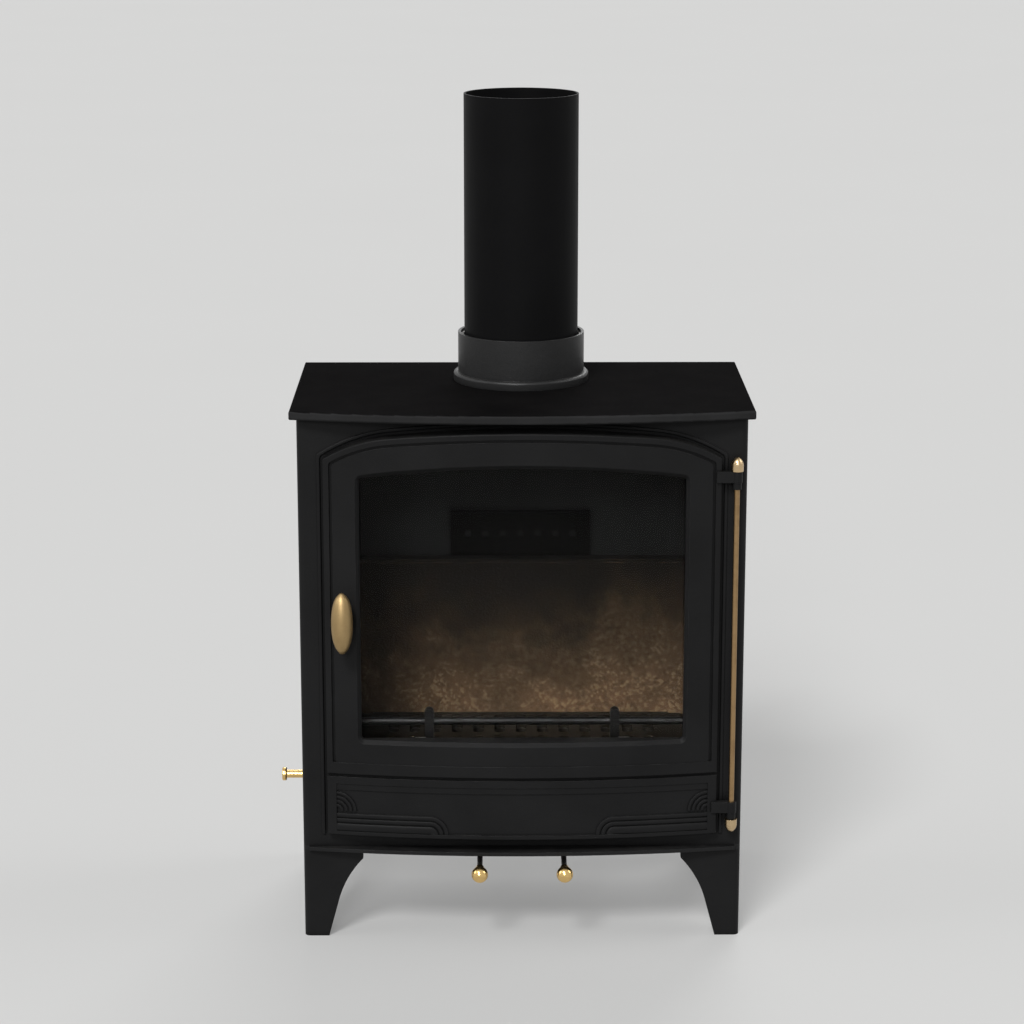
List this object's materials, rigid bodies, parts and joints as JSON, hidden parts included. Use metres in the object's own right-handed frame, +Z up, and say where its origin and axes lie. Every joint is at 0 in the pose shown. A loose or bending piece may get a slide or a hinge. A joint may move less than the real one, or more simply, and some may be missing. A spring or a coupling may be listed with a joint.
{
  "type": "multi-fuel stove",
  "caption": "Free-standing multi-fuel stove on four legs, with a bowed glazed door, riddling grate, sliding air controls and a round top flue outlet.",
  "frame": {"origin": "on the floor, at the middle of the stove's outer box", "axes": "+X to the right seen from the front, +Y to the back (the door faces -Y), +Z up along the flue"},
  "size_m": [0.5116, 0.3145, 0.905],
  "materials": {
    "cast_black": "matt heat-proof stove paint on cast iron",
    "steel_black": "matt heat-proof stove paint on steel plate",
    "pipe_black": "satin black flue pipe",
    "brass": "polished brass",
    "brass_brushed": "brushed brass",
    "bare_steel": "plain steel, dulled by heat",
    "firebrick": "vermiculite firebrick, sooted",
    "rope": "woven glass-fibre rope",
    "glass": "clear ceramic glass"
  },
  "bodies": {
    "stove_body": {"base_plate": "steel_black", "leg_front_left": "cast_black", "leg_front_right": "cast_black", "leg_rear_left": "cast_black", "leg_rear_right": "cast_black", "leg_bolts": "bare_steel", "side_panel_left": "steel_black", "side_panel_right": "steel_black", "back_panel": "steel_black", "back_screws": "bare_steel", "front_frame": "cast_black", "latch_keeper": "bare_steel", "top_plate": "cast_black", "top_brackets": "steel_black", "top_bolts": "bare_steel", "flue_collar": "cast_black", "collar_bolts": "bare_steel", "flue_pipe": "pipe_black", "flue_seal_rope": "rope", "tray_ledges": "steel_black", "firebed_tray": "steel_black", "firebrick_rear": "firebrick", "firebrick_left": "firebrick", "firebrick_right": "firebrick", "grate_frame": "cast_black", "riddling_rails": "steel_black", "secondary_air_duct": "steel_black", "airwash_deflector": "steel_black", "baffle_rests": "steel_black", "pan_runners": "steel_black", "air_guide_bracket": "steel_black", "slide_rails": "steel_black", "hinge_pin": "brass_brushed", "hinge_finial_top": "brass", "hinge_finial_bottom": "brass"},
    "door": {"door_casting": "cast_black", "door_glass": "glass", "glass_gasket": "rope", "glass_clips": "bare_steel", "clip_screws": "bare_steel", "door_rope_seal": "rope"},
    "door_handle": {"handle_knob": "brass_brushed", "handle_spindle": "bare_steel", "latch_tongue": "bare_steel", "spindle_nut": "bare_steel"},
    "primary_air": {"primary_air_slide": "steel_black", "primary_air_rod": "bare_steel", "primary_air_knob": "brass"},
    "secondary_air": {"secondary_air_slide": "steel_black", "secondary_air_rod": "bare_steel", "secondary_air_knob": "brass"},
    "riddling_gear": {"riddling_plate": "cast_black", "riddling_lug": "cast_black", "riddling_rod": "bare_steel", "riddling_knob": "brass"},
    "fuel_guard": {"guard_post_left": "cast_black", "guard_post_right": "cast_black", "guard_bar": "bare_steel"},
    "throat": {"throat_plate": "steel_black"},
    "pan": {"ash_pan": "steel_black"}
  },
  "joints": [
    {"name": "door_swing", "type": "hinge", "parent": "stove_body", "child": "door", "pos_m": [0.237, -0.11875, 0.335], "axis": [0, 0, 1], "range_deg": [0, 110]},
    {"name": "handle_turn", "type": "hinge", "parent": "door", "child": "door_handle", "pos_m": [-0.1807, -0.14575, 0.367], "axis": [0, -1, 0], "range_deg": [0, 90]},
    {"name": "primary_air_pull", "type": "slide", "parent": "stove_body", "child": "primary_air", "axis": [0, -1, 0], "range_m": [0, 0.028]},
    {"name": "secondary_air_pull", "type": "slide", "parent": "stove_body", "child": "secondary_air", "axis": [0, -1, 0], "range_m": [0, 0.028]},
    {"name": "riddling_pull", "type": "slide", "parent": "stove_body", "child": "riddling_gear", "axis": [-1, 0, 0], "range_m": [0, 0.024]},
    {"name": "fuel_guard_lift", "type": "slide", "parent": "stove_body", "child": "fuel_guard", "axis": [0, 0, 1], "range_m": [0, 0.06]},
    {"name": "throat_plate_lift", "type": "slide", "parent": "stove_body", "child": "throat", "axis": [0, 0, 1], "range_m": [0, 0.03]},
    {"name": "ash_pan_slide", "type": "slide", "parent": "stove_body", "child": "pan", "axis": [0, -1, 0], "range_m": [0, 0.01]}
  ]
}
